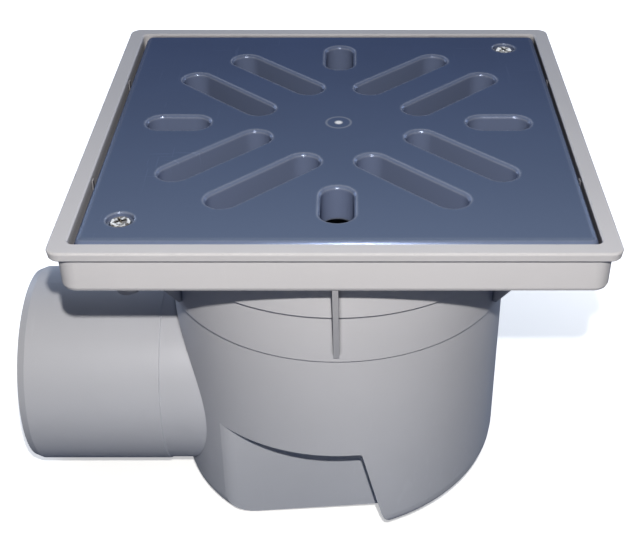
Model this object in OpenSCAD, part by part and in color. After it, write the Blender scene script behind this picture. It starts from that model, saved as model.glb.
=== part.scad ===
// Gully trap for a yard or wet-room floor, with a side outlet.
// A square inlet frame carries a screwed grate over a silt bucket, and slips
// over the neck of a round pot. A flap trap plugs into the outlet from inside.
// Millimetres, +Z up. The origin is on the pot's axis, in its sloping underside.
// The outlet runs towards -X.

/* [Pot] */
// Outer radius of the pot
pot_r = 89.5; // [84:0.5:100]
// Wall of the pot
pot_wall = 3; // [2.4:0.1:4]
// Thickness of the pot's floor
floor_t = 3.5; // [3:0.1:5]
// Slope of the pot's floor in degrees, falling towards the outlet
floor_fall = 5; // [3:0.5:6]
// Height of the shoulder that carries the frame's skirt
shoulder_z = 120.5; // [119:0.5:130]
// Height of the neck above the shoulder
neck_h = 57; // [50:1:70]
// How far the neck stands in from the pot's outside
neck_step = 1.6; // [1.2:0.1:2.2]
// Wall of the neck
neck_wall = 3.4; // [2.8:0.1:4]
// Radius of the rounding under the pot
toe_r = 9; // [4:0.5:12]

/* [Foot recesses] */
// Distance of the flat recess wall from the pot's axis
recess_y = 66.6; // [62:0.2:72]
// Height of the recess roof
recess_h = 58.1; // [44:0.1:62]
// Where the roof ends on the side away from the outlet
recess_roof_x = 13; // [5:0.5:16]
// Lean of the recess's end in degrees
recess_lean = 13; // [8:0.5:16]
// Radius that rounds the pot's foot at that end
recess_foot_r = 18; // [10:0.5:20]
// Radius that blends the flat wall into the round of the pot
recess_blend_r = 12; // [8:1:24]

/* [Outlet] */
// Outer radius of the outlet spigot, for a 110 pipe socket
outlet_r = 55; // [53:0.5:55.5]
// Wall of the spigot
outlet_wall = 3.2; // [2.6:0.1:4]
// Height of the outlet's axis above the floor
outlet_z = 49.3; // [49.3:0.1:54]
// Distance of the spigot's free end from the pot's axis
outlet_reach = 171; // [165:0.5:190]
// Length of the lead-in taper on the spigot
outlet_lead = 4; // [2:0.5:10]
// How much slimmer the spigot's root is than the length that a pipe's socket fits
root_relief = 0.6; // [0.6:0.1:1]
// Distance of the socket's length from the outside of the pot
root_l = 6; // [4:0.5:10]

/* [Inlet frame] */
// Outer width of the frame's flange
frame_w = 245; // [243:0.5:260]
// Thickness of the flange
flange_t = 4.6; // [3.6:0.1:6]
// How far the flange overhangs the tray
flange_lip = 3.1; // [2.5:0.1:4]
// Depth of the tray below the frame's top
tray_h = 22; // [21:0.5:24]
// Wall of the tray at its top
tray_wall = 5; // [4:0.1:6]
// Draft angle of the tray's sides
tray_draft = 1; // [0.5:0.5:3]
// Thickness of the tray's floor at the bucket's seat
tray_floor_t = 3; // [2.6:0.1:4]
// Wall of the skirt that slips over the neck
skirt_wall = 3.8; // [3:0.1:4.4]
// Wall of the wider seal chamber in the skirt
chamber_wall = 3.3; // [2.8:0.1:4]
// Height of the seal chamber's ledge above the floor
seal_ledge_z = 152; // [144:0.5:158]
// Thickness of the gusset ribs
gusset_t = 2.7; // [2:0.1:4]
// Number of gusset ribs
gusset_count = 6; // [4:2:6]
// Height of the gussets' feet above the pot's shoulder
gusset_lift = 4.5; // [1:0.5:10]
// How far the screw bosses reach below the tray
boss_drop = 15; // [8:0.5:18]

/* [Grate] */
// Thickness of the grate's plate
plate_t = 4; // [3:0.5:5]
// How far the grate's top lies below the frame's
grate_drop = 0.1; // [0:0.1:1]
// Depth of the grate's rim
rim_h = 14; // [12:0.5:15]
// Wall of the grate's rim
rim_wall = 2.6; // [2:0.1:4]
// Width of the slots
slot_w = 15.2; // [12:0.2:17]
// Wall of the tubes and ribs under the plate
rib_t = 2.2; // [1.6:0.1:3]
// Distance of the four straight slots from the centre
straight_at = 81; // [78:0.5:84]
// Length of the four straight slots
straight_len = 31.4; // [28:0.2:36]
// Distance of the slanting slots' middle from the centre, along the diagonal
slant_at = 65.8; // [62:0.2:70]
// Length of the slanting slots
slant_len = 65.6; // [56:0.2:72]
// Distance of the slanting slots from the diagonal
slant_off = 17.5; // [14:0.5:19]
// Chamfer of the slots' upper edge
slot_edge = 1.2; // [0.6:0.2:1.6]
// Distance of the screws from the centre lines
screw_at = 94.5; // [92:0.5:96]

/* [Silt bucket] */
// Depth of the bucket below its flange
bucket_h = 55; // [40:1:58]
// Wall of the bucket
bucket_wall = 2; // [1.6:0.1:3]
// Taper of the bucket over its depth
bucket_taper = 7; // [4:0.5:12]
// Number of slits round the bucket
slit_count = 24; // [12:4:32]

/* [Flap trap] */
// Width of the rim between the housing's bore and the opening that the flap closes
seat_rim = 13.8; // [13:0.2:17]
// Tilt of the flap at rest, which keeps it shut by its own weight
seat_tilt = 10; // [6:1:14]
// Wall of the trap housing
housing_wall = 3.4; // [3:0.1:4]
// Thickness of the flap
flap_t = 2.4; // [2:0.1:3.4]
// Radius of the flap's hinge pin
pin_r = 1.8; // [1.5:0.1:2.2]

/* [Clearances] */
// Gap between the neck and the skirt
neck_gap = 0.3; // [0.2:0.05:0.6]
// Gap between the grate and the frame, averaged over the two sides
grate_gap = 1.6; // [1.2:0.1:2]
// How far the grate lies off centre in its frame
grate_shift = 0.7; // [0:0.1:0.9]
// Gap round the bucket
bucket_gap = 0.5; // [0.3:0.1:1]
// Gap between the trap housing and the outlet bore
housing_gap = 0.6; // [0.4:0.1:0.9]
// Radial play of the flap on its pin
hinge_play = 0.08; // [0.03:0.01:0.1]
// Gap between the grate's tubes and the tray's floor
tube_gap = 0.2; // [0.2:0.1:3]
// Gap between pieces that lie on each other
seat_gap = 0.05; // [0.02:0.01:0.1]

/* [Hidden] */
$fn = 96;
cut = 1;
light_grey = [0.66, 0.65, 0.66];
slate = [0.27, 0.31, 0.42];

// Pot
neck_r = pot_r - neck_step;
neck_bore = neck_r - neck_wall;
neck_top = shoulder_z + neck_h;
sump_depth = 20;
bore_r = outlet_r - outlet_wall;
collar_r = outlet_r - root_relief;
collar_x = sqrt(pow(pot_r - pot_wall - 1, 2) - pow(collar_r, 2));

// Frame
skirt_bore = neck_r + neck_gap;
skirt_r = skirt_bore + skirt_wall;
chamber_r = skirt_r + 0.2;
bead_r = chamber_r + chamber_wall;
bead_z = seal_ledge_z - chamber_wall;
seal_h = 8;
seal_t = 1.4;
tray_w = frame_w - 2 * flange_lip;
tray_z = neck_top + tray_floor_t;
frame_top = tray_z + tray_h;
tray_r = 8;
flange_r = 6;
opening_w = tray_w - 2 * tray_wall;
draft_in = (tray_h - flange_t) * tan(tray_draft);
bucket_seat_z = tray_z + 1;
tray_floor_z = bucket_seat_z + bucket_wall;
dish_rise = 1.2;
dish_r = opening_w / 2 - draft_in;

// Grate
grate_w = opening_w - 2 * grate_gap;
grate_z = frame_top - grate_drop;
grate_foot = grate_z - rim_h;
plate_z = grate_z - plate_t;
tube_z = tray_floor_z + dish_rise + tube_gap;
boss_r = 7.6;
boss_h = 3;
screw_spots = [[-1, -1], [1, 1]];
insert_r = 3.4;
insert_l = 8;
screw_r = 2;
head_r = 5;
head_h = 2.3;
head_well_r = 6.3;
head_well_h = head_h + 0.8;
screw_seat_z = grate_z - head_well_h;
boss_top = plate_z - boss_h;
boss_wall = 2;
boss_foot_z = tray_z - boss_drop;

// Bucket
flange_out_r = neck_r + 0.3;
bucket_r = neck_bore - bucket_gap;
bucket_top = bucket_seat_z + bucket_wall;
bucket_z = bucket_seat_z - bucket_h;
bail_z = bucket_seat_z - 4.5;
bail_t = 2.2;
bail_r = bucket_r - bucket_wall - 6;

// Trap
housing_r = bore_r - housing_gap;
housing_in = housing_r - housing_wall;
seat_r = housing_in - seat_rim;
seat_x = collar_x + 22;
groove_x = collar_x + 3;
groove_w = 7;
groove_r = housing_r - 1.6;
hinge_up = seat_r + 9.5;
hinge_out = 5.2;
gasket_t = 1.6;
flap_r = seat_r + 5;
eye_r = pin_r + 2;
knuckle_w = 18;
ear_t = 3.4;
trap_flange_t = 3.4;
vent_r = 7;

// ---- shared shapes ----

// Points of a quarter round from angle a to angle b about a centre
function arc(cx, cy, r, a, b, n) = [for (i = [0:n]) [cx + r * cos(a + (b - a) * i / n), cy + r * sin(a + (b - a) * i / n)]];

// A square slab with round corners. The section lists [inset from the outline, height] from the bottom up.
module edged_slab(w, r, section) {
    h = w / 2 - r;
    z0 = section[0][1];
    z1 = section[len(section) - 1][1];
    outline = concat([[0, z0]], [for (p = section) [r - p[0], p[1]]], [[0, z1]]);
    translate([-h, -h, z0])
        cube([2 * h, 2 * h, z1 - z0]);
    for (a = [0:90:270])
        rotate(a) {
            translate([h, h, 0])
                rotate_extrude(angle = 90)
                    polygon(outline);
            translate([h, h, 0])
                rotate([90, 0, 0])
                    linear_extrude(2 * h)
                        polygon(outline);
        }
}

// A slot-shaped bar along X with half-round ends. The section lists [half width, height] from the bottom up.
module slot_bar(length, width, section) {
    run = length - width;
    z0 = section[0][1];
    z1 = section[len(section) - 1][1];
    half = concat([[0, z0]], section, [[0, z1]]);
    whole = concat(section, [for (i = [len(section) - 1:-1:0]) [-section[i][0], section[i][1]]]);
    translate([-run / 2, 0, 0])
        rotate([90, 0, 90])
            linear_extrude(run)
                polygon(whole);
    for (s = [0, 180])
        rotate(s)
            translate([run / 2, 0, 0])
                rotate([0, 0, -90])
                    rotate_extrude(angle = 180)
                        polygon(half);
}

// Places children on the seat of the flap: local +X up the seat, local +Z down the outlet
module on_seat() {
    translate([-seat_x, 0, outlet_z])
        rotate([0, seat_tilt - 90, 0])
            children();
}

// Places children along the outlet: local +Z towards its free end
module along_outlet(x) {
    translate([-x, 0, outlet_z])
        rotate([0, -90, 0])
            children();
}

// ---- pot ----

// Outline of a foot recess in the XZ plane, grown by g on all its sides but the floor.
// Its end leans, and runs out into the floor with a round.
function recess_outline(g) =
    let (
        round_z = recess_foot_r,
        round_x = recess_roof_x + (recess_h - round_z) * tan(recess_lean) + recess_foot_r / cos(recess_lean),
        corner_r = 2,
        corner_x = recess_roof_x + g - corner_r,
        corner_z = recess_h + g - corner_r
    )
    concat(
        [[-pot_r - 10, -sump_depth], [round_x, -sump_depth]],
        arc(round_x, round_z, recess_foot_r - g, -90, -180 + recess_lean, 5),
        arc(corner_x, corner_z, corner_r, recess_lean, 90, 3),
        [[-pot_r - 10, recess_h + g]]
    );

// What a foot recess leaves of a slab round the pot's axis, seen from above: the flat wall
// and the round that carries it over into the pot's own. It is grown by g.
module recess_plan(g) {
    blend_y = recess_blend_r - recess_y;
    blend_x = -sqrt(pow(pot_r - recess_blend_r + 0.1, 2) - blend_y * blend_y);
    difference() {
        translate([-pot_r - 10, -pot_r - 10])
            square([2 * pot_r, pot_r + 10 + blend_y]);
        translate([blend_x, blend_y])
            circle(recess_blend_r - g);
        translate([blend_x, -recess_y + g])
            square([2 * pot_r, pot_r]);
        rotate(atan2(blend_y, blend_x))
            translate([0, -2 * pot_r])
                square(2 * pot_r);
    }
}

module foot_recesses(g) {
    for (s = [0, 1])
        mirror([0, s, 0])
            intersection() {
                translate([0, -recess_y + g + pot_r, 0])
                    rotate([90, 0, 0])
                        linear_extrude(2 * pot_r)
                            polygon(recess_outline(g));
                translate([0, 0, -sump_depth])
                    linear_extrude(recess_h + g + sump_depth + cut)
                        recess_plan(g);
            }
}

// Bowl that gives a round of radius r its sloping floor at height z, with a toe of radius toe
module sloping_bowl(r, toe, z) {
    flare = 60;
    translate([0, 0, z + toe / cos(floor_fall)])
        rotate([0, -floor_fall, 0])
            rotate_extrude()
                polygon(concat(
                    [[0, -toe]],
                    arc(r - toe, 0, toe, -90, 0, 6),
                    [[r + flare, neck_top + flare], [0, neck_top + flare]]
                ));
}

module pot_outside() {
    difference() {
        intersection() {
            rotate_extrude()
                polygon([
                    [0, -sump_depth], [pot_r, -sump_depth],
                    [pot_r, shoulder_z], [neck_r, shoulder_z],
                    [neck_r, neck_top - 1.5], [neck_r - 1, neck_top], [0, neck_top]
                ]);
            sloping_bowl(pot_r, toe_r, 0);
        }
        foot_recesses(0);
    }
}

module pot_inside() {
    in_r = pot_r - pot_wall;
    difference() {
        intersection() {
            rotate_extrude()
                polygon([
                    [0, -sump_depth], [in_r, -sump_depth],
                    [in_r, shoulder_z - 6], [neck_bore, shoulder_z],
                    [neck_bore, neck_top + cut], [0, neck_top + cut]
                ]);
            sloping_bowl(in_r, toe_r - pot_wall, floor_t);
        }
        foot_recesses(pot_wall);
    }
}

module pot_body() {
    color(light_grey)
        difference() {
            union() {
                difference() {
                    pot_outside();
                    pot_inside();
                }
                along_outlet(collar_x)
                    rotate_extrude()
                        polygon([
                            [0, 0], [collar_r, 0],
                            [collar_r, pot_r + root_l - collar_x - root_relief],
                            [outlet_r, pot_r + root_l - collar_x],
                            [outlet_r, outlet_reach - collar_x - outlet_lead],
                            [outlet_r - 1.6, outlet_reach - collar_x],
                            [0, outlet_reach - collar_x]
                        ]);
            }
            along_outlet(collar_x - cut)
                cylinder(r = bore_r, h = outlet_reach - collar_x + 2 * cut);
        }
}

// ---- inlet frame ----

module skirt_outside() {
    rotate_extrude()
        polygon([
            [0, shoulder_z], [skirt_r - 0.6, shoulder_z], [skirt_r, shoulder_z + 0.6],
            [skirt_r, bead_z], [bead_r - 1, bead_z], [bead_r, bead_z + 1],
            [bead_r, tray_z + 1], [0, tray_z + 1]
        ]);
}

module skirt_inside() {
    rotate_extrude()
        polygon([
            [0, shoulder_z - cut], [skirt_bore, shoulder_z - cut],
            [skirt_bore, seal_ledge_z], [chamber_r, seal_ledge_z],
            [chamber_r, neck_top - 3], [skirt_bore, neck_top + seat_gap],
            [neck_bore, neck_top + seat_gap], [neck_bore, bucket_seat_z],
            [flange_out_r + bucket_gap, bucket_seat_z], [flange_out_r + bucket_gap, tray_floor_z],
            [dish_r, tray_floor_z + dish_rise], [dish_r, tray_floor_z + dish_rise + cut],
            [0, tray_floor_z + dish_rise + cut]
        ]);
}

module gussets() {
    edge = tray_w / 2 - draft_in - 2.2;
    foot_r = skirt_r + 2;
    foot_z = shoulder_z + gusset_lift;
    for (i = [0:gusset_count - 1]) {
        turn = i * 360 / gusset_count - 90;
        reach = edge / max(abs(cos(turn)), abs(sin(turn)));
        rotate(turn)
            rotate([90, 0, 0])
                translate([0, 0, -gusset_t / 2])
                    linear_extrude(gusset_t)
                        polygon([
                            [bead_r - 1.5, tray_z + 1], [reach, tray_z + 1],
                            [reach, tray_z - 1], [foot_r, foot_z],
                            [skirt_r - 1.5, foot_z], [skirt_r - 1.5, bead_z + 1],
                            [bead_r - 1.5, bead_z + 1]
                        ]);
    }
}

module seat_ribs() {
    wall_x = opening_w / 2;
    floor_z = tray_floor_z + dish_rise - 0.8;
    for (a = [0:90:270], s = [-1, 1])
        rotate(a)
            translate([0, s * opening_w * 0.24, 0]) {
                translate([wall_x - 9, -2, floor_z])
                    cube([9 + 1, 4, grate_foot - floor_z]);
                translate([wall_x - (grate_gap - grate_shift) + 0.2, -1.5, floor_z])
                    cube([2, 3, frame_top - 2.5 - floor_z]);
            }
}

module frame_bosses() {
    for (p = screw_spots)
        translate([p[0] * screw_at, p[1] * screw_at, boss_foot_z])
            cylinder(r = insert_r + boss_wall, h = boss_top - boss_foot_z);
}

module inlet_frame() {
    color(light_grey)
        difference() {
            union() {
                difference() {
                    union() {
                        edged_slab(frame_w, flange_r, [
                            [1, frame_top - flange_t], [0.5, frame_top - flange_t + 0.6],
                            [0, frame_top - 0.9], [0.2, frame_top - 0.3], [0.8, frame_top]
                        ]);
                        edged_slab(tray_w, tray_r, [
                            [draft_in + 2, tray_z], [draft_in + 0.6, tray_z + 0.6],
                            [draft_in, tray_z + 2], [0, frame_top - flange_t + 0.5]
                        ]);
                        skirt_outside();
                    }
                    edged_slab(opening_w, 3.5, [
                        [draft_in, tray_floor_z + dish_rise], [0, frame_top - 3],
                        [0, frame_top - 0.7], [-0.7, frame_top + 0.01], [-0.7, frame_top + cut]
                    ]);
                    skirt_inside();
                }
                gussets();
                seat_ribs();
                frame_bosses();
            }
            for (p = screw_spots)
                translate([p[0] * screw_at, p[1] * screw_at, boss_top - insert_l - 0.6])
                    cylinder(r = insert_r + seat_gap, h = insert_l + 0.6 + cut);
        }
}

// Lip seal in the skirt's chamber, round the neck
module skirt_seal() {
    in_r = neck_r + seat_gap;
    out_r = chamber_r - seat_gap;
    foot_z = seal_ledge_z + seat_gap;
    lip_z = seal_h / 2;
    color([0.12, 0.12, 0.13])
        rotate_extrude()
            polygon([
                [in_r, seal_ledge_z + lip_z], [in_r + seal_t, foot_z],
                [out_r, foot_z], [out_r, seal_ledge_z + seal_h],
                [out_r - seal_t, seal_ledge_z + seal_h], [in_r + seal_t, seal_ledge_z + lip_z + seal_t / 2],
                [in_r, seal_ledge_z + lip_z + seal_t]
            ]);
}

// ---- grate ----

module straight_slots() {
    for (a = [0:90:270])
        rotate(a)
            translate([straight_at, 0, 0])
                children();
}

module slanting_slots() {
    for (a = [45:90:315], s = [-1, 1])
        rotate(a)
            translate([slant_at, s * slant_off, 0])
                children();
}

module grate() {
    tube = [[slot_w / 2 + rib_t, tube_z], [slot_w / 2 + rib_t, plate_z + 1]];
    hole = [
        [slot_w / 2, tube_z - cut], [slot_w / 2, grate_z - slot_edge],
        [slot_w / 2 + slot_edge, grate_z], [slot_w / 2 + slot_edge, grate_z + cut]
    ];
    color(slate)
        translate([grate_shift, 0, 0])
            difference() {
                union() {
                    difference() {
                        edged_slab(grate_w, 4, [
                            [0.4, grate_foot], [0, grate_z - 3], [0.5, grate_z - 1.6],
                            [1.5, grate_z - 0.5], [2.8, grate_z]
                        ]);
                        edged_slab(grate_w - 2 * rim_wall - 1, 1.5, [[0, grate_foot - cut], [0, plate_z]]);
                    }
                    straight_slots()
                        slot_bar(straight_len + 2 * rib_t, slot_w + 2 * rib_t, tube);
                    slanting_slots()
                        slot_bar(slant_len + 2 * rib_t, slot_w + 2 * rib_t, tube);
                    for (a = [45:90:315])
                        rotate(a)
                            translate([0, -rib_t / 2, grate_foot + 1])
                                cube([screw_at * sqrt(2), rib_t, plate_z - grate_foot]);
                    for (a = [0:90:270])
                        rotate(a)
                            translate([0, -rib_t / 2, grate_foot + 1])
                                cube([straight_at - straight_len / 2, rib_t, plate_z - grate_foot]);
                    translate([0, 0, grate_foot + 1])
                        cylinder(r = 9, h = plate_z - grate_foot);
                    for (p = screw_spots)
                        translate([p[0] * screw_at - grate_shift, p[1] * screw_at, boss_top + seat_gap])
                            cylinder(r = boss_r, h = plate_z - boss_top + 1);
                }
                straight_slots()
                    slot_bar(straight_len, slot_w, hole);
                slanting_slots()
                    slot_bar(slant_len, slot_w, hole);
                for (p = screw_spots)
                    translate([p[0] * screw_at - grate_shift, p[1] * screw_at, 0]) {
                        translate([0, 0, boss_top - 12])
                            cylinder(r = screw_r + 0.6, h = 30);
                        translate([0, 0, boss_top - 12])
                            cylinder(r = insert_r + boss_wall + 0.3, h = 12 + seat_gap);
                        translate([0, 0, screw_seat_z])
                            cylinder(r = head_well_r, h = head_well_h + cut);
                    }
            }
}

// One pan-head screw, its seat at z = 0
module grate_screw() {
    difference() {
        rotate_extrude()
            polygon(concat(
                [[0, -screw_seat_z + boss_top - insert_l + 1]],
                [[screw_r - 0.5, -screw_seat_z + boss_top - insert_l + 1]],
                [[screw_r, -screw_seat_z + boss_top - insert_l + 1.6], [screw_r, 0], [head_r, 0]],
                arc(head_r - 1.4, head_h - 1.4, 1.4, 0, 70, 4),
                [[0, head_h]]
            ));
        for (a = [0, 90])
            rotate(a + 25)
                translate([-2.9, -0.55, head_h - 1.3])
                    cube([5.8, 1.1, 2]);
    }
}

module grate_screws() {
    color([0.80, 0.80, 0.78])
        for (p = screw_spots)
            translate([p[0] * screw_at, p[1] * screw_at, screw_seat_z])
                grate_screw();
}

module threaded_inserts() {
    color([0.78, 0.62, 0.30])
        for (p = screw_spots)
            translate([p[0] * screw_at, p[1] * screw_at, boss_top - insert_l])
                rotate_extrude()
                    polygon([
                        [screw_r + seat_gap, 0], [insert_r - 0.6, 0], [insert_r, 0.8],
                        [insert_r, insert_l / 2 - 0.5], [insert_r - 0.5, insert_l / 2 - 0.2],
                        [insert_r - 0.5, insert_l / 2 + 0.2], [insert_r, insert_l / 2 + 0.5],
                        [insert_r, insert_l], [screw_r + seat_gap, insert_l]
                    ]);
}

// ---- silt bucket ----

module silt_bucket() {
    foot_r = bucket_r - bucket_taper;
    seat = bucket_seat_z + seat_gap;
    in_r = bucket_r - bucket_wall;
    slit_h = bucket_h * 0.42;
    color([0.24, 0.25, 0.27])
        difference() {
            union() {
                rotate_extrude()
                    polygon([
                        [0, bucket_z], [foot_r - 3, bucket_z], [foot_r, bucket_z + 3],
                        [bucket_r, seat], [flange_out_r, seat], [flange_out_r, bucket_top - 0.5],
                        [flange_out_r - 0.5, bucket_top], [in_r, bucket_top],
                        [in_r, seat], [foot_r - bucket_wall, bucket_z + 4.2],
                        [foot_r - bucket_wall - 2, bucket_z + bucket_wall], [0, bucket_z + bucket_wall]
                    ]);
                for (s = [-1, 1])
                    translate([0, s * (in_r - 1.6), bail_z])
                        rotate([90, 0, 0])
                            cylinder(r = bail_t + 2.2, h = 3.6, center = true);
                translate([bail_r - 3, -4, bail_z - bail_t - 3])
                    cube([in_r - bail_r + 3, 8, 3 - seat_gap]);
            }
            for (i = [0:slit_count - 1])
                rotate((i + 0.5) * 360 / slit_count)
                    translate([foot_r - 8, -2, bucket_z + 12])
                        cube([20, 4, slit_h]);
            for (ring = [1:3], i = [0:6 * ring - 1])
                rotate(i * 60 / ring)
                    translate([ring * foot_r * 0.27, 0, bucket_z - cut])
                        cylinder(r = 3, h = bucket_wall + 2 * cut, $fn = 24);
            for (s = [-1, 1])
                translate([0, s * bucket_r, bail_z])
                    rotate([90, 0, 0])
                        cylinder(r = bail_t + 0.15, h = 16, center = true);
        }
}

// Wire bail, folded down on its rest inside the bucket
module bucket_handle() {
    pin_l = bucket_r - 1.2 - bail_r;
    color([0.75, 0.76, 0.78])
        translate([0, 0, bail_z]) {
            rotate(-90)
                rotate_extrude(angle = 180)
                    translate([bail_r, 0])
                        circle(bail_t, $fn = 32);
            for (s = [0, 1])
                mirror([0, s, 0])
                    translate([0, bail_r, 0]) {
                        sphere(bail_t, $fn = 32);
                        rotate([-90, 0, 0])
                            cylinder(r = bail_t, h = pin_l, $fn = 32);
                    }
        }
}

// ---- flap trap ----

module upstream_of_seat(depth) {
    reach = 4 * outlet_r;
    on_seat()
        translate([-reach / 2, -reach / 2, -reach - depth])
            cube(reach);
}

module trap_housing() {
    mouth_x = collar_x - trap_flange_t - seat_gap;
    block = 4 * outlet_r;
    color([0.30, 0.32, 0.35])
        difference() {
            union() {
                difference() {
                    union() {
                        intersection() {
                            along_outlet(mouth_x)
                                cylinder(r = housing_r, h = seat_x);
                            upstream_of_seat(0);
                        }
                        along_outlet(mouth_x)
                            cylinder(r = collar_r, h = trap_flange_t);
                    }
                    intersection() {
                        along_outlet(mouth_x - cut)
                            cylinder(r = housing_in, h = seat_x);
                        upstream_of_seat(housing_wall);
                    }
                }
                on_seat()
                    for (s = [-1, 1])
                        translate([hinge_up - eye_r, s * (knuckle_w / 2 + 0.4 + ear_t / 2) - ear_t / 2, -1]) {
                            cube([2 * eye_r, ear_t, 1 + hinge_out]);
                            translate([eye_r, 0, 1 + hinge_out])
                                rotate([-90, 0, 0])
                                    cylinder(r = eye_r, h = ear_t);
                        }
                translate([-mouth_x - 0.5, -14, outlet_z + housing_in - 4]) {
                    cube([20, 28, 3]);
                    for (y = [0, 25])
                        translate([0, y + 3, 0])
                            rotate([90, 0, 0])
                                linear_extrude(3)
                                    polygon([[0, 0], [0, -9 + 12], [16, 1], [16, 0], [0, -4]]);
                }
            }
            on_seat() {
                translate([0, 0, -housing_wall - cut])
                    cylinder(r = seat_r, h = housing_wall + 2 * cut);
                translate([hinge_up, 0, hinge_out])
                    rotate([90, 0, 0])
                        cylinder(r = pin_r + seat_gap, h = knuckle_w + 20, center = true);
            }
            translate([-mouth_x + vent_r + 4, 0, outlet_z])
                cylinder(r = vent_r, h = collar_r);
            along_outlet(groove_x)
                rotate_extrude()
                    polygon([[groove_r, 0], [outlet_r, 0], [outlet_r, groove_w], [groove_r, groove_w]]);
            rotate([0, -floor_fall, 0])
                translate([-block, -block / 2, floor_t + housing_gap - block])
                    cube(block);
        }
}

// Lip seal between the trap housing and the outlet bore
module trap_seal() {
    base_r = groove_r + seat_gap;
    tip_r = bore_r - seat_gap;
    color([0.12, 0.12, 0.13])
        along_outlet(groove_x)
            rotate_extrude()
                polygon([
                    [base_r, seat_gap], [housing_r, seat_gap],
                    [tip_r, groove_w * 0.32], [tip_r, groove_w * 0.43],
                    [housing_r, groove_w * 0.48], [housing_r, groove_w * 0.57],
                    [tip_r, groove_w * 0.86], [tip_r, groove_w - 2 * seat_gap],
                    [base_r, groove_w - seat_gap]
                ]);
}

module trap_flap() {
    face = seat_gap + gasket_t;
    color([0.30, 0.32, 0.35])
        on_seat()
            difference() {
                union() {
                    rotate_extrude()
                        polygon([
                            [0, face], [flap_r, face], [flap_r, face + flap_t + 1.2],
                            [flap_r - 2, face + flap_t + 1.2], [flap_r - 2.6, face + flap_t], [0, face + flap_t]
                        ]);
                    for (a = [0, 90])
                        rotate(a)
                            translate([-flap_r + 2, -1, face + flap_t - 0.5])
                                cube([2 * flap_r - 4, 2, 2.5]);
                    for (s = [-1, 1])
                        translate([flap_r * 0.6, s * (knuckle_w / 2 - 2) - 2, face + flap_t - 0.5])
                            cube([hinge_up - flap_r * 0.6, 4, hinge_out - face - flap_t + 2]);
                    translate([hinge_up, 0, hinge_out])
                        rotate([90, 0, 0])
                            cylinder(r = eye_r, h = knuckle_w, center = true);
                }
                translate([hinge_up, 0, hinge_out])
                    rotate([90, 0, 0])
                        cylinder(r = pin_r + hinge_play, h = knuckle_w + 2, center = true);
            }
}

module flap_gasket() {
    color([0.12, 0.12, 0.13])
        on_seat()
            rotate_extrude()
                polygon([
                    [seat_r - 0.6, gasket_t + seat_gap], [seat_r - 0.6, 0.6], [seat_r, seat_gap],
                    [flap_r - 1, seat_gap], [flap_r - 0.5, 0.6], [flap_r - 0.5, gasket_t + seat_gap]
                ]);
}

module flap_pin() {
    half = knuckle_w / 2 + 0.4 + ear_t + 0.3;
    color([0.80, 0.80, 0.78])
        on_seat()
            translate([hinge_up, 0, hinge_out])
                rotate([90, 0, 0]) {
                    cylinder(r = pin_r, h = 2 * half, center = true);
                    for (s = [0, 1])
                        mirror([0, 0, s])
                            translate([0, 0, half])
                                cylinder(r1 = pin_r + 0.8, r2 = pin_r + 0.2, h = 1);
                }
}

pot_body();
inlet_frame();
skirt_seal();
grate();
grate_screws();
threaded_inserts();
silt_bucket();
bucket_handle();
trap_housing();
trap_seal();
trap_flap();
flap_gasket();
flap_pin();
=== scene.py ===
import math
from collections import namedtuple

import bmesh
import bpy
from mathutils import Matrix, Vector


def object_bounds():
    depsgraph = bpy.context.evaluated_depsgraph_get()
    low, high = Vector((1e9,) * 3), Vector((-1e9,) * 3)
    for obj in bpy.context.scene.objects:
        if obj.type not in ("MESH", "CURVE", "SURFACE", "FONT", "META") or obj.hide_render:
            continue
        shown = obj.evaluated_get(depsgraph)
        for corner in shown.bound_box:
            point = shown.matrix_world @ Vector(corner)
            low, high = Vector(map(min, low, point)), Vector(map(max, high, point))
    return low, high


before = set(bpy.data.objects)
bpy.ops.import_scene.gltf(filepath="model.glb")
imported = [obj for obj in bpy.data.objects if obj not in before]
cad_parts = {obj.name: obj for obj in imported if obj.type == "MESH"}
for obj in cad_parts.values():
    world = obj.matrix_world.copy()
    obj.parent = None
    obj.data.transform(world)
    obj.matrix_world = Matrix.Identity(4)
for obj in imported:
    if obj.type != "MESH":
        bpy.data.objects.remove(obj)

bl_info = {
    "name": "Gully Trap",
    "version": (1, 0, 0),
    "blender": (4, 5, 0),
    "location": "View3D > Sidebar > Gully Trap",
    "description": "Finishes a moulded gully trap and sets it on a studio floor",
    "category": "Object",
}

MM = 0.001
CAD_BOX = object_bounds()

# lamps: where each one hangs and what it faces, from the middle of the pot's underside
KEY_PLACE = (20 * MM, -545 * MM, 555 * MM)
KEY_TARGET = (-20 * MM, 0.0, 120 * MM)
SIDE_PLACE = (850 * MM, 800 * MM, 350 * MM)
SIDE_TARGET = (0.0, 0.0, 100 * MM)
SIDE_WIDTH = 500 * MM
BACK_PLACE = (0.0, 950 * MM, 900 * MM)
BACK_TARGET = (0.0, 0.0, 120 * MM)
BACK_WIDTH = 1600 * MM
BACK_HEIGHT = 800 * MM

# floor: its size, and where its shadow starts to fade and is gone, from the pot's axis
FLOOR_RADIUS = 6.0
SHADE_INNER = 120 * MM
SHADE_OUTER = 400 * MM

WHITE = (1.0, 1.0, 1.0, 1.0)


# ---------------------------------------------------------------- settings

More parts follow.
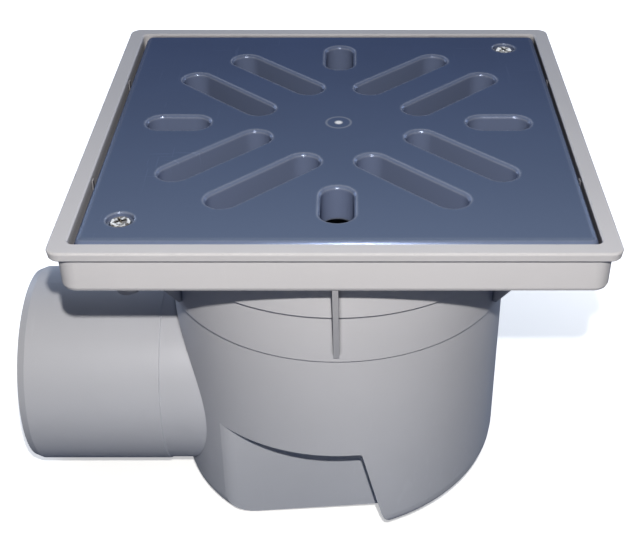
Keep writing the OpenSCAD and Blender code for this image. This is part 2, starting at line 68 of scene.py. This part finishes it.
class GULLY_PG_finishes(bpy.types.PropertyGroup):
    """Colours of the gully's mouldings, rubber and metal, and where the pot's painted cool floor bounce ends
    """

    light_grey: bpy.props.FloatVectorProperty(
        name="Light grey moulding", description="Colour of the pot and the inlet frame",
        subtype="COLOR", size=3, min=0, max=1, default=(0.590, 0.580, 0.605))
    # painted light: this cooler tone toward the floor stands in for blue light bounced up from the floor
    painted_bounce_grey: bpy.props.FloatVectorProperty(
        name="Light grey near the floor", description="Cooler tone of the pot toward the floor",
        subtype="COLOR", size=3, min=0, max=1, default=(0.530, 0.555, 0.625))
    painted_bounce_height: bpy.props.FloatProperty(
        name="Cooler up to", description="Height above the pot's underside at which the cooler tone ends",
        unit="LENGTH", min=0, default=180 * MM)
    # painted reflection: the top face's colour is darker and bluer than the slot walls', for blue light it
    # would reflect; the walls are paler as if lit
    slate: bpy.props.FloatVectorProperty(
        name="Slate moulding", description="Colour of the grate's top face",
        subtype="COLOR", size=3, min=0, max=1, default=(0.058, 0.086, 0.178))
    slate_wall: bpy.props.FloatVectorProperty(
        name="Slate slot walls", description="Colour of the grate's slot walls",
        subtype="COLOR", size=3, min=0, max=1, default=(0.131, 0.162, 0.262))
    # painted light: the paler colour the grate's top face takes toward the front, where the lamp's light and
    # its broad reflection fall
    slate_front_light: bpy.props.FloatVectorProperty(
        name="Slate front light", description="Painted light: colour of the grate's top face toward the front",
        subtype="COLOR", size=3, min=0, max=1, default=(0.100, 0.132, 0.212))
    dark_grey: bpy.props.FloatVectorProperty(
        name="Dark moulding", description="Colour of the silt bucket and the trap",
        subtype="COLOR", size=3, min=0, max=1, default=(0.045, 0.050, 0.058))
    rubber: bpy.props.FloatVectorProperty(
        name="Rubber", description="Colour of the seals",
        subtype="COLOR", size=3, min=0, max=1, default=(0.014, 0.014, 0.015))
    steel: bpy.props.FloatVectorProperty(
        name="Stainless steel", description="Colour of the screws, the pin and the bail",
        subtype="COLOR", size=3, min=0, max=1, default=(0.62, 0.61, 0.59))
    brass: bpy.props.FloatVectorProperty(
        name="Brass", description="Colour of the threaded inserts",
        subtype="COLOR", size=3, min=0, max=1, default=(0.58, 0.38, 0.13))


class GULLY_PG_studio(bpy.types.PropertyGroup):
    """Camera and lamps round the gully"""

    camera_side: bpy.props.FloatProperty(
        name="Camera side", description="How far the camera stands to the right of the pot's axis",
        unit="LENGTH", default=6.5 * MM)
    camera_back: bpy.props.FloatProperty(
        name="Camera distance", description="How far the camera stands in front of the pot's axis",
        unit="LENGTH", min=0.2, default=535 * MM)
    camera_height: bpy.props.FloatProperty(
        name="Camera height", description="Height of the camera above the pot's underside",
        unit="LENGTH", min=0.1, default=470 * MM)
    camera_dip: bpy.props.FloatProperty(
        name="Camera dip", description="How far the camera looks down from level",
        subtype="ANGLE", unit="ROTATION", default=math.radians(33.6))
    lens: bpy.props.FloatProperty(
        name="Lens", description="Focal length of the camera", unit="CAMERA", min=20, default=66.0)
    shift: bpy.props.FloatProperty(
        name="Shift", description="Sideways shift of the picture, as a share of its width", default=-0.047)
    key_power: bpy.props.FloatProperty(
        name="Key lamp", description="Power of the small lamp above the camera",
        unit="POWER", min=0, default=4.2)
    key_size: bpy.props.FloatProperty(
        name="Key lamp size", description="Width of the lamp above the camera",
        unit="LENGTH", min=0, default=10 * MM)
    key_color: bpy.props.FloatVectorProperty(
        name="Key lamp colour", description="Colour of the small lamp above the camera",
        subtype="COLOR", size=3, min=0, max=1, default=(1.0, 0.972, 0.915))
    back_power: bpy.props.FloatProperty(
        name="Back lamp", description="Power of the broad soft lamp behind and above the gully",
        unit="POWER", min=0, default=3.2)
    side_power: bpy.props.FloatProperty(
        name="Side lamps", description="Power of each of the two soft lamps that light the back of the gully",
        unit="POWER", min=0, default=5.0)
    back_color: bpy.props.FloatVectorProperty(
        name="Back lamp colour", description="Colour of the soft lamps behind the gully",
        subtype="COLOR", size=3, min=0, max=1, default=(0.66, 0.79, 1.0))
    sky: bpy.props.FloatProperty(
        name="Sky", description="Strength of the even light from all sides", min=0, max=1, default=0.03)
    sky_color: bpy.props.FloatVectorProperty(
        name="Sky colour", description="Colour of the even light from all sides",
        subtype="COLOR", size=3, min=0, max=1, default=(0.45, 0.58, 1.0))
    floor_bounce: bpy.props.FloatVectorProperty(
        name="Floor bounce", description="Colour of the light that the floor throws back on the object",
        subtype="COLOR", size=3, min=0, max=1, default=(0.05, 0.075, 0.14))
    floor_glow: bpy.props.FloatProperty(
        name="Floor glow", description="How bright the floor looks where the object shades it",
        min=0, max=1, default=0.50)


# ---------------------------------------------------------------- node helpers

class Wiring:
    """Adds nodes to one tree and joins them"""

    def __init__(self, tree):
        self.tree = tree

    def add(self, kind, inputs=None, **settings):
        """A new node with its settings and its inputs, each a value or a socket to join"""
        node = self.tree.nodes.new("ShaderNode" + kind)
        for name, value in settings.items():
            setattr(node, name, value)
        for name, value in (inputs or {}).items():
            self.feed(node.inputs[name], value)
        return node

    def feed(self, socket, value):
        """Joins a socket to an input, or sets the input's value"""
        if isinstance(value, bpy.types.NodeSocket):
            self.tree.links.new(value, socket)
        else:
            socket.default_value = value

    def math(self, operation, first, second=0.0):
        """The result of one sum on one or two numbers"""
        node = self.add("Math", operation=operation)
        self.feed(node.inputs[0], first)
        self.feed(node.inputs[1], second)
        return node.outputs[0]

    def mix(self, factor, first, second, blend="MIX"):
        """A colour between two, or the second blended over the first"""
        node = self.add("Mix", data_type="RGBA", blend_type=blend)
        self.feed(node.inputs["Factor"], factor)
        self.feed(node.inputs["A"], first)
        self.feed(node.inputs["B"], second)
        return node.outputs["Result"]

    def span(self, value, low, high, to_low=0.0, to_high=1.0):
        """The value moved from one range to another and held inside it"""
        return self.add("MapRange", {
            "Value": value, "From Min": low, "From Max": high, "To Min": to_low, "To Max": to_high,
        }).outputs["Result"]


def rgba(color, factor=1.0):
    return (color[0] * factor, color[1] * factor, color[2] * factor, 1.0)


def paler(color, factor, lift):
    """A colour made lighter, as rubbed plastic is"""
    return rgba([min(1.0, channel * factor + lift) for channel in color])


def shared_group(name, inputs, outputs):
    """A shader node group with named sockets: its wiring, its input node and its output node"""
    tree = bpy.data.node_groups.new(name, "ShaderNodeTree")
    for label, kind, value in inputs:
        socket = tree.interface.new_socket(label, in_out="INPUT", socket_type="NodeSocket" + kind)
        socket.default_value = value
    for label, kind in outputs:
        tree.interface.new_socket(label, in_out="OUTPUT", socket_type="NodeSocket" + kind)
    wires = Wiring(tree)
    return wires, tree.nodes.new("NodeGroupInput"), tree.nodes.new("NodeGroupOutput")


def build_tone_drift():
    """Slow changes of tone in a moulding, from how the melt flowed"""
    wires, given, out = shared_group(
        "Tone Drift",
        [("Color", "Color", (0.5, 0.5, 0.5, 1)), ("Darker", "Float", 0.9), ("Scale", "Float", 12.0)],
        [("Color", "Color"), ("Mask", "Float")])
    place = wires.add("TexCoord").outputs["Object"]
    clouds = wires.add("TexNoise", {
        "Vector": place, "Scale": given.outputs["Scale"], "Detail": 3.0, "Roughness": 0.55})
    mask = wires.span(clouds.outputs["Fac"], 0.3, 0.7)
    dark = wires.mix(1.0, given.outputs["Color"], given.outputs["Darker"], "MULTIPLY")
    wires.feed(out.inputs["Color"], wires.mix(mask, dark, given.outputs["Color"]))
    wires.feed(out.inputs["Mask"], mask)
    return wires.tree


def build_moulded_grain():
    """Fine spark-eroded grain, with a few broader dimples"""
    wires, given, out = shared_group(
        "Moulded Grain",
        [("Scale", "Float", 1500.0), ("Broad Scale", "Float", 90.0), ("Broad", "Float", 0.3)],
        [("Height", "Float")])
    place = wires.add("TexCoord").outputs["Object"]
    fine = wires.add("TexNoise", {"Vector": place, "Scale": given.outputs["Scale"], "Detail": 2.0})
    broad = wires.add("TexNoise", {"Vector": place, "Scale": given.outputs["Broad Scale"], "Detail": 1.0})
    raised = wires.math("MULTIPLY", broad.outputs["Fac"], given.outputs["Broad"])
    wires.feed(out.inputs["Height"], wires.math("ADD", fine.outputs["Fac"], raised))
    return wires.tree


def build_handling_marks():
    """Thin rub marks in two directions, sparse and broken up"""
    wires, given, out = shared_group(
        "Handling Marks", [("Scale", "Float", 60.0), ("Amount", "Float", 0.5)], [("Mask", "Float")])
    place = wires.add("TexCoord").outputs["Object"]
    marks = None
    for turn, stretch in ((0.5, (9.0, 0.5, 1.0)), (-0.9, (0.45, 8.0, 1.0))):
        turned = wires.add("Mapping", {"Vector": place, "Rotation": (0, 0, turn), "Scale": stretch})
        lines = wires.add("TexNoise", {
            "Vector": turned.outputs["Vector"], "Scale": given.outputs["Scale"], "Detail": 2.0})
        thin = wires.span(lines.outputs["Fac"], 0.66, 0.72)
        marks = thin if marks is None else wires.math("MAXIMUM", marks, thin)
    patches = wires.add("TexNoise", {"Vector": place, "Scale": 9.0, "Detail": 2.0})
    where = wires.span(patches.outputs["Fac"], 0.48, 0.62)
    seen = wires.math("MULTIPLY", marks, where)
    wires.feed(out.inputs["Mask"], wires.math("MULTIPLY", seen, given.outputs["Amount"]))
    return wires.tree


def build_rounded_edges():
    """One on rounded corners, from how far a rounded normal leans from the face: wear where hands and boots
    rub on some mouldings, a painted highlight on the grate's rims
    """
    wires, given, out = shared_group(
        "Rounded Edges", [("Radius", "Float", 1.2 * MM), ("Amount", "Float", 0.5)], [("Mask", "Float")])
    rounded = wires.add("Bevel", {"Radius": given.outputs["Radius"]}, samples=4)
    facing = wires.add("NewGeometry").outputs["Normal"]
    lean = wires.add("VectorMath", operation="DOT_PRODUCT")
    wires.feed(lean.inputs[0], rounded.outputs["Normal"])
    wires.feed(lean.inputs[1], facing)
    edge = wires.span(lean.outputs["Value"], 0.995, 0.90)
    wires.feed(out.inputs["Mask"], wires.math("MULTIPLY", edge, given.outputs["Amount"]))
    return wires.tree


def build_face_up():
    """One on faces that look up, falling to nothing on upright walls"""
    wires, _, out = shared_group("Face Up", [], [("Mask", "Float")])
    turned = wires.add("SeparateXYZ", {"Vector": wires.add("TexCoord").outputs["Normal"]})
    wires.feed(out.inputs["Mask"], wires.span(turned.outputs["Z"], 0.55, 0.92))
    return wires.tree


def build_creases():
    """Painted shade: one in tight inner corners and under lips, where shade falls"""
    wires, given, out = shared_group(
        "Painted Crease Shade", [("Reach", "Float", 3.0 * MM), ("Amount", "Float", 0.8)], [("Mask", "Float")])
    around = wires.add("AmbientOcclusion", {"Distance": given.outputs["Reach"]}, samples=8)
    deep = wires.span(around.outputs["AO"], 0.80, 0.35)
    wires.feed(out.inputs["Mask"], wires.math("MULTIPLY", deep, given.outputs["Amount"]))
    return wires.tree


def build_centre_mark():
    """The gate mark in the middle of a moulding: a faint ring and a small bright dot, round an upright
    axis that stands Side to the right of the origin"""
    wires, given, out = shared_group(
        "Centre Mark",
        [("Side", "Float", 0.0), ("Ring", "Float", 6.2 * MM), ("Dot", "Float", 2.4 * MM)],
        [("Ring", "Float"), ("Dot", "Float")])
    place = wires.add("SeparateXYZ", {"Vector": wires.add("TexCoord").outputs["Object"]})
    across = wires.math("SUBTRACT", place.outputs["X"], given.outputs["Side"])
    spoke = wires.add("CombineXYZ", {"X": across, "Y": place.outputs["Y"]})
    away = wires.add("VectorMath", {0: spoke.outputs["Vector"]}, operation="LENGTH").outputs["Value"]
    off = wires.math("ABSOLUTE", wires.math("SUBTRACT", away, given.outputs["Ring"]))
    wires.feed(out.inputs["Ring"], wires.span(off, 0.9 * MM, 0.2 * MM))
    core = wires.math("MULTIPLY", given.outputs["Dot"], 0.5)
    wires.feed(out.inputs["Dot"], wires.span(away, given.outputs["Dot"], core))
    return wires.tree


def group_node(wires, tree, **inputs):
    """A group placed in a material, with its inputs named as in broad_scale for Broad Scale"""
    node = wires.add("Group", node_tree=tree)
    for name, value in inputs.items():
        wires.feed(node.inputs[name.replace("_", " ").title()], value)
    return node


def empty_material(name):
    """A material without nodes, and its wiring"""
    material = bpy.data.materials.new(name)
    material.use_nodes = True
    material.node_tree.nodes.clear()
    return material, Wiring(material.node_tree)


def blank_material(name):
    """A material with only its shader and output: the material, its wiring and the shader"""
    material, wires = empty_material(name)
    shader = wires.add("BsdfPrincipled")
    end = wires.add("OutputMaterial")
    wires.feed(end.inputs["Surface"], shader.outputs["BSDF"])
    return material, wires, shader


def seen_or_mirrored(wires):
    """One for what the camera sees itself, in a mirror or through glass, and nothing for light that
    falls on the object"""
    path = wires.add("LightPath")
    seen = wires.math("MAXIMUM", path.outputs["Is Camera Ray"], path.outputs["Is Glossy Ray"])
    return wires.math("MAXIMUM", seen, path.outputs["Is Transmission Ray"])


# ---------------------------------------------------------------- finishes

Moulding = namedtuple("Moulding", "material wires shader color bump")


def moulded_plastic(name, color, roughness, sheen, grain_depth, drift, marks, wear):
    """Injection-moulded plastic: drifting tone, fine grain, rubbed edges and a few handling marks.
    Its only shine is a little Metallic, the sheen, which keeps the plastic's own colour. Its Moulding
    also holds the socket that carries the colour, for a finish that adds to it."""
    material, wires, shader = blank_material(name)
    toned = group_node(wires, GROUPS["drift"], color=rgba(color), darker=drift, scale=14.0)
    rub_marks_and_rim_highlight = group_node(wires, GROUPS["marks"], scale=55.0, amount=marks)
    edges = group_node(wires, GROUPS["wear"], radius=0.9 * MM, amount=wear)
    pale = wires.mix(rub_marks_and_rim_highlight.outputs["Mask"], toned.outputs["Color"], paler(color, 1.35, 0.02))
    worn = wires.mix(edges.outputs["Mask"], pale, paler(color, 1.25, 0.05))
    wires.feed(shader.inputs["Base Color"], worn)
    gloss = wires.span(toned.outputs["Mask"], 0.0, 1.0, roughness - 0.04, roughness + 0.05)
    dulled = wires.math("MULTIPLY", rub_marks_and_rim_highlight.outputs["Mask"], 0.1)
    wires.feed(shader.inputs["Roughness"], wires.math("ADD", gloss, dulled))
    grain = group_node(wires, GROUPS["grain"], scale=1400.0, broad_scale=70.0, broad=1.2)
    bump = wires.add("Bump", {"Height": grain.outputs["Height"], "Distance": grain_depth, "Strength": 0.5})
    wires.feed(shader.inputs["Normal"], bump.outputs["Normal"])
    shader.inputs["IOR"].default_value = 1.49
    shader.inputs["Specular IOR Level"].default_value = 0.0
    shader.inputs["Metallic"].default_value = sheen
    return Moulding(material, wires, shader, worn, bump)


def light_plastic(color, painted_bounce_color, painted_bounce_height):
    """Light grey plastic, with a cool floor bounce painted in toward the floor and shade painted in its tight
    inner corners
    """
    material, wires, shader, worn, _ = moulded_plastic(
        "Light Grey Moulding", color, roughness=0.38, sheen=0.05, grain_depth=0.05 * MM,
        drift=0.95, marks=0.06, wear=0.15)
    # painted light: the colour turns cooler toward the floor, a painted blue floor bounce
    place = wires.add("SeparateXYZ", {"Vector": wires.add("TexCoord").outputs["Object"]})
    ratio = rgba([low / high for low, high in zip(painted_bounce_color, color)])
    tint = wires.mix(wires.span(place.outputs["Z"], 0.0, painted_bounce_height), ratio, WHITE)
    bounce_tinted = wires.mix(1.0, worn, tint, "MULTIPLY")
    # painted shade: a dark blue-black mixed into the colour in tight inner corners and under lips
    creases = group_node(wires, GROUPS["creases"], reach=3.0 * MM, amount=0.85)
    shaded = wires.mix(creases.outputs["Mask"], bounce_tinted, (0.03, 0.03, 0.05, 1.0))
    wires.feed(shader.inputs["Base Color"], shaded)
    return material


def slate_plastic(color, wall_color, front_light_color, low, high):
    """Slate plastic for a moulding between two corners: a cool top face with painted light toward the front,
    a painted reflection that keeps the top face bluer than the paler slot walls, rims with a real shine from
    Metallic and a painted highlight in their colour, and a gate mark in the middle"""
    sheen = 0.09
    rim_radius = 1.8 * MM
    material, wires, shader, worn, bump = moulded_plastic(
        "Slate Moulding", color, roughness=0.22, sheen=sheen, grain_depth=0.06 * MM,
        drift=0.86, marks=0.35, wear=0.0)
    place = wires.add("SeparateXYZ", {"Vector": wires.add("TexCoord").outputs["Object"]})
    # painted light: the top face turns paler toward the front, where the lamp's light and its broad
    # reflection fall
    front_light_share = wires.span(place.outputs["Y"], high.y - 12.8 * MM, low.y + 2.8 * MM)
    front_lit = wires.mix(front_light_share, worn, rgba(front_light_color))
    # painted reflection: up-facing faces get the darker, bluer top colour and walls the paler one, standing
    # in for reflected blue light and lamp light
    up = group_node(wires, GROUPS["up"])
    painted_top_and_wall = wires.mix(up.outputs["Mask"], rgba(wall_color), front_lit)
    mark = group_node(wires, GROUPS["centre"], side=(low.x + high.x) / 2)
    ring = wires.math("MULTIPLY", mark.outputs["Ring"], 0.30)
    ringed = wires.mix(ring, painted_top_and_wall, (0.45, 0.47, 0.52, 1.0))
    dotted = wires.mix(mark.outputs["Dot"], ringed, (0.85, 0.85, 0.88, 1.0))
    # painted highlight: the rims take a pale colour where the lamp would glint, besides their real extra
    # shine from Metallic
    rims = group_node(wires, GROUPS["wear"], radius=rim_radius, amount=1.0)
    rub_marks_and_rim_highlight = wires.math("MULTIPLY", rims.outputs["Mask"], 0.35)
    wires.feed(shader.inputs["Base Color"], wires.mix(rub_marks_and_rim_highlight, dotted, (0.50, 0.53, 0.60, 1.0)))
    wires.feed(shader.inputs["Metallic"], wires.span(rims.outputs["Mask"], 0.0, 1.0, sheen, 0.35))
    rounded = wires.add("Bevel", {"Radius": rim_radius}, samples=6)
    wires.feed(bump.inputs["Normal"], rounded.outputs["Normal"])
    return material


def black_rubber(color):
    """Moulded rubber with a dusty bloom"""
    material, wires, shader = blank_material("Black Rubber")
    toned = group_node(wires, GROUPS["drift"], color=rgba(color, 1.6), darker=0.55, scale=40.0)
    wires.feed(shader.inputs["Base Color"], toned.outputs["Color"])
    wires.feed(shader.inputs["Roughness"], wires.span(toned.outputs["Mask"], 0.0, 1.0, 0.62, 0.78))
    grain = group_node(wires, GROUPS["grain"], scale=2200.0, broad_scale=160.0, broad=0.4)
    bump = wires.add("Bump", {"Height": grain.outputs["Height"], "Distance": 0.05 * MM, "Strength": 0.5})
    wires.feed(shader.inputs["Normal"], bump.outputs["Normal"])
    return material


def bare_metal(name, color, roughness, streak, painted_dark_reflection=0.0):
    """Turned or drawn metal with fine tool lines and a share of dark brown patches, a painted dark reflection
    """
    material, wires, shader = blank_material(name)
    place = wires.add("TexCoord").outputs["Object"]
    stretched = wires.add("Mapping", {"Vector": place, "Scale": streak})
    lines = wires.add("TexNoise", {"Vector": stretched.outputs["Vector"], "Scale": 900.0, "Detail": 3.0})
    toned = group_node(wires, GROUPS["drift"], color=rgba(color), darker=0.72, scale=260.0)
    line = wires.span(lines.outputs["Fac"], 0.35, 0.65)
    tint = wires.mix(line, rgba(color, 0.86), toned.outputs["Color"])
    # painted reflection: dark brown patches stand in for the dark surroundings the metal would mirror
    spots = wires.add("TexNoise", {"Vector": place, "Scale": 420.0, "Detail": 3.0})
    brown = wires.math("MULTIPLY", wires.span(spots.outputs["Fac"], 0.42, 0.52), painted_dark_reflection)
    wires.feed(shader.inputs["Base Color"], wires.mix(brown, tint, (0.035, 0.026, 0.020, 1.0)))
    dull = wires.span(lines.outputs["Fac"], 0.3, 0.7, roughness - 0.06, roughness + 0.08)
    wires.feed(shader.inputs["Roughness"], dull)
    bump = wires.add("Bump", {"Height": lines.outputs["Fac"], "Distance": 0.02 * MM, "Strength": 0.4})
    wires.feed(shader.inputs["Normal"], bump.outputs["Normal"])
    shader.inputs["Metallic"].default_value = 1.0
    return material


GROUPS = {}


def build_groups():
    """Builds each shared effect once, for the finishes to place"""
    GROUPS.update(
        drift=build_tone_drift(), grain=build_moulded_grain(), marks=build_handling_marks(),
        wear=build_rounded_edges(), up=build_face_up(), creases=build_creases(), centre=build_centre_mark())


def dress(node, material):
    """Gives a CAD node its finish"""
    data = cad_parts[node].data
    data.materials.clear()
    data.materials.append(material)


def corners_of(node):
    """The low and the high corner of a CAD node"""
    points = [vertex.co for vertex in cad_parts[node].data.vertices]
    low = Vector([min(point[axis] for point in points) for axis in range(3)])
    high = Vector([max(point[axis] for point in points) for axis in range(3)])
    return low, high


# ---------------------------------------------------------------- operators

class GULLY_OT_shell(bpy.types.Operator):
    """Finish the pot and the inlet frame in light grey moulded plastic"""

    bl_idname = "gully.shell"
    bl_label = "Pot and Frame"

    def execute(self, context):
        finishes = context.scene.gully_finishes
        plastic = light_plastic(finishes.light_grey, finishes.painted_bounce_grey, finishes.painted_bounce_height)
        for node in ("pot_body", "inlet_frame"):
            dress(node, plastic)
        return {"FINISHED"}


class GULLY_OT_grate(bpy.types.Operator):
    """Finish the grate in slate moulded plastic"""

    bl_idname = "gully.grate"
    bl_label = "Grate"

    def execute(self, context):
        finishes = context.scene.gully_finishes
        low, high = corners_of("grate")
        dress("grate", slate_plastic(finishes.slate, finishes.slate_wall, finishes.slate_front_light, low, high))
        return {"FINISHED"}


class GULLY_OT_inner(bpy.types.Operator):
    """Finish the silt bucket and the flap trap"""

    bl_idname = "gully.inner"
    bl_label = "Bucket and Trap"

    def execute(self, context):
        finishes = context.scene.gully_finishes
        plastic = moulded_plastic(
            "Dark Moulding", finishes.dark_grey, roughness=0.40, sheen=0.06, grain_depth=0.08 * MM,
            drift=0.8, marks=0.5, wear=0.3)
        for node in ("silt_bucket", "trap_housing", "trap_flap"):
            dress(node, plastic.material)
        return {"FINISHED"}


class GULLY_OT_seals(bpy.types.Operator):
    """Finish the rubber seals and the flap's gasket"""

    bl_idname = "gully.seals"
    bl_label = "Seals"

    def execute(self, context):
        rubber = black_rubber(context.scene.gully_finishes.rubber)
        for node in ("skirt_seal", "trap_seal", "flap_gasket"):
            dress(node, rubber)
        return {"FINISHED"}


class GULLY_OT_metal(bpy.types.Operator):
    """Finish the screws, the inserts, the bail and the flap's pin"""

    bl_idname = "gully.metal"
    bl_label = "Metal Parts"

    def execute(self, context):
        finishes = context.scene.gully_finishes
        lines = (1.0, 1.0, 6.0)
        steel = bare_metal("Stainless Steel", finishes.steel, roughness=0.26, streak=lines)
        for node in ("bucket_handle", "flap_pin"):
            dress(node, steel)
        screw_steel = bare_metal("Screw Steel", finishes.steel, roughness=0.24, streak=lines, painted_dark_reflection=0.85)
        dress("grate_screws", screw_steel)
        brass = bare_metal("Brass", finishes.brass, roughness=0.32, streak=(1.0, 1.0, 8.0))
        dress("threaded_inserts", brass)
        return {"FINISHED"}


def floor_material(glow, bounce):
    """White to the camera, with a shadow round the object, and a plain colour to the light that bounces
    off it"""
    material, wires = empty_material("Studio Floor")
    away = wires.add("VectorMath", {0: wires.add("TexCoord").outputs["Object"]}, operation="LENGTH")
    open_floor = wires.add("MapRange", {
        "Value": away.outputs["Value"], "From Min": SHADE_INNER, "From Max": SHADE_OUTER,
        "To Min": glow, "To Max": 1.0,
    }, interpolation_type="SMOOTHSTEP")
    shaded = wires.add("BsdfDiffuse", {"Color": (0.95, 0.95, 0.95, 1.0)})
    shine = wires.add("Emission", {"Color": WHITE, "Strength": open_floor.outputs["Result"]})
    seen = wires.add("AddShader", {0: shaded.outputs["BSDF"], 1: shine.outputs["Emission"]})
    bounced = wires.add("BsdfDiffuse", {"Color": rgba(bounce)})
    both = wires.add("MixShader", {
        0: seen_or_mirrored(wires), 1: bounced.outputs["BSDF"], 2: seen.outputs["Shader"]})
    end = wires.add("OutputMaterial")
    wires.feed(end.inputs["Surface"], both.outputs["Shader"])
    return material


def aim(obj, place, target):
    """Puts a lamp at a place, facing a target"""
    obj.location = place
    obj.rotation_euler = (Vector(target) - Vector(place)).to_track_quat("-Z", "Y").to_euler()


def area_lamp(name, power, width, height, color, place, target):
    """A flat lamp that lights the object and that the camera doesn't see"""
    lamp = bpy.data.lights.new(name, "AREA")
    lamp.shape = "RECTANGLE"
    lamp.energy = power
    lamp.size = width
    lamp.size_y = height
    lamp.color = color
    obj = bpy.data.objects.new(name, lamp)
    obj.visible_camera = False
    bpy.context.scene.collection.objects.link(obj)
    aim(obj, place, target)


def light_sky(color, strength):
    """Even light from all sides, which the camera sees as white"""
    world = bpy.data.worlds.new("Studio Sky")
    bpy.context.scene.world = world
    world.use_nodes = True
    world.node_tree.nodes.clear()
    wires = Wiring(world.node_tree)
    even = wires.add("Background", {"Color": rgba(color), "Strength": strength})
    white = wires.add("Background", {"Color": WHITE, "Strength": 1.0})
    both = wires.add("MixShader", {
        0: seen_or_mirrored(wires), 1: even.outputs["Background"], 2: white.outputs["Background"]})
    end = wires.add("OutputWorld")
    wires.feed(end.inputs["Surface"], both.outputs["Shader"])


class GULLY_OT_stage(bpy.types.Operator):
    """Lay the floor, hang the lamps and place the camera"""

    bl_idname = "gully.stage"
    bl_label = "Studio"

    def execute(self, context):
        studio = context.scene.gully_studio
        floor_bm = bmesh.new()
        bmesh.ops.create_circle(floor_bm, cap_ends=True, segments=64, radius=FLOOR_RADIUS)
        floor_mesh = bpy.data.meshes.new("studio_floor")
        floor_bm.to_mesh(floor_mesh)
        floor_bm.free()
        floor = bpy.data.objects.new("studio_floor", floor_mesh)
        floor.location.z = CAD_BOX[0][2]
        context.scene.collection.objects.link(floor)
        floor_mesh.materials.append(floor_material(studio.floor_glow, studio.floor_bounce))

        light_sky(studio.sky_color, studio.sky)
        area_lamp("key_lamp", studio.key_power, studio.key_size, studio.key_size, studio.key_color,
                  KEY_PLACE, KEY_TARGET)
        across, behind, height = SIDE_PLACE
        for name, side in (("left_lamp", -across), ("right_lamp", across)):
            area_lamp(name, studio.side_power, SIDE_WIDTH, SIDE_WIDTH, studio.back_color,
                      (side, behind, height), SIDE_TARGET)
        area_lamp("back_lamp", studio.back_power, BACK_WIDTH, BACK_HEIGHT, studio.back_color,
                  BACK_PLACE, BACK_TARGET)

        camera = bpy.data.cameras.new("camera")
        camera.lens = studio.lens
        camera.sensor_width = 36.0
        camera.shift_x = studio.shift
        camera.clip_start = 10 * MM
        view = bpy.data.objects.new("camera", camera)
        view.location = (studio.camera_side, -studio.camera_back, studio.camera_height)
        view.rotation_euler = (math.pi / 2 - studio.camera_dip, 0, 0)
        context.scene.collection.objects.link(view)
        context.scene.camera = view
        context.scene.view_settings.view_transform = "Standard"
        return {"FINISHED"}


class GULLY_PT_panel(bpy.types.Panel):
    """Sizes, colours and steps of the gully trap"""

    bl_idname = "GULLY_PT_panel"
    bl_label = "Gully Trap"
    bl_space_type = "VIEW_3D"
    bl_region_type = "UI"
    bl_category = "Gully Trap"

    def draw(self, context):
        for group in (context.scene.gully_finishes, context.scene.gully_studio):
            box = self.layout.box()
            for name in group.__annotations__:
                box.prop(group, name)
        for operator in OPERATORS:
            self.layout.operator(operator.bl_idname)


OPERATORS = (GULLY_OT_shell, GULLY_OT_grate, GULLY_OT_inner, GULLY_OT_seals, GULLY_OT_metal, GULLY_OT_stage)
CLASSES = (GULLY_PG_finishes, GULLY_PG_studio) + OPERATORS + (GULLY_PT_panel,)


def register():
    for cls in CLASSES:
        bpy.utils.register_class(cls)
    bpy.types.Scene.gully_finishes = bpy.props.PointerProperty(type=GULLY_PG_finishes)
    bpy.types.Scene.gully_studio = bpy.props.PointerProperty(type=GULLY_PG_studio)


def unregister():
    del bpy.types.Scene.gully_studio
    del bpy.types.Scene.gully_finishes
    for cls in reversed(CLASSES):
        bpy.utils.unregister_class(cls)


def main():
    register()
    build_groups()
    bpy.ops.gully.shell()
    bpy.ops.gully.grate()
    bpy.ops.gully.inner()
    bpy.ops.gully.seals()
    bpy.ops.gully.metal()
    bpy.ops.gully.stage()


if __name__ == "__main__":
    main()
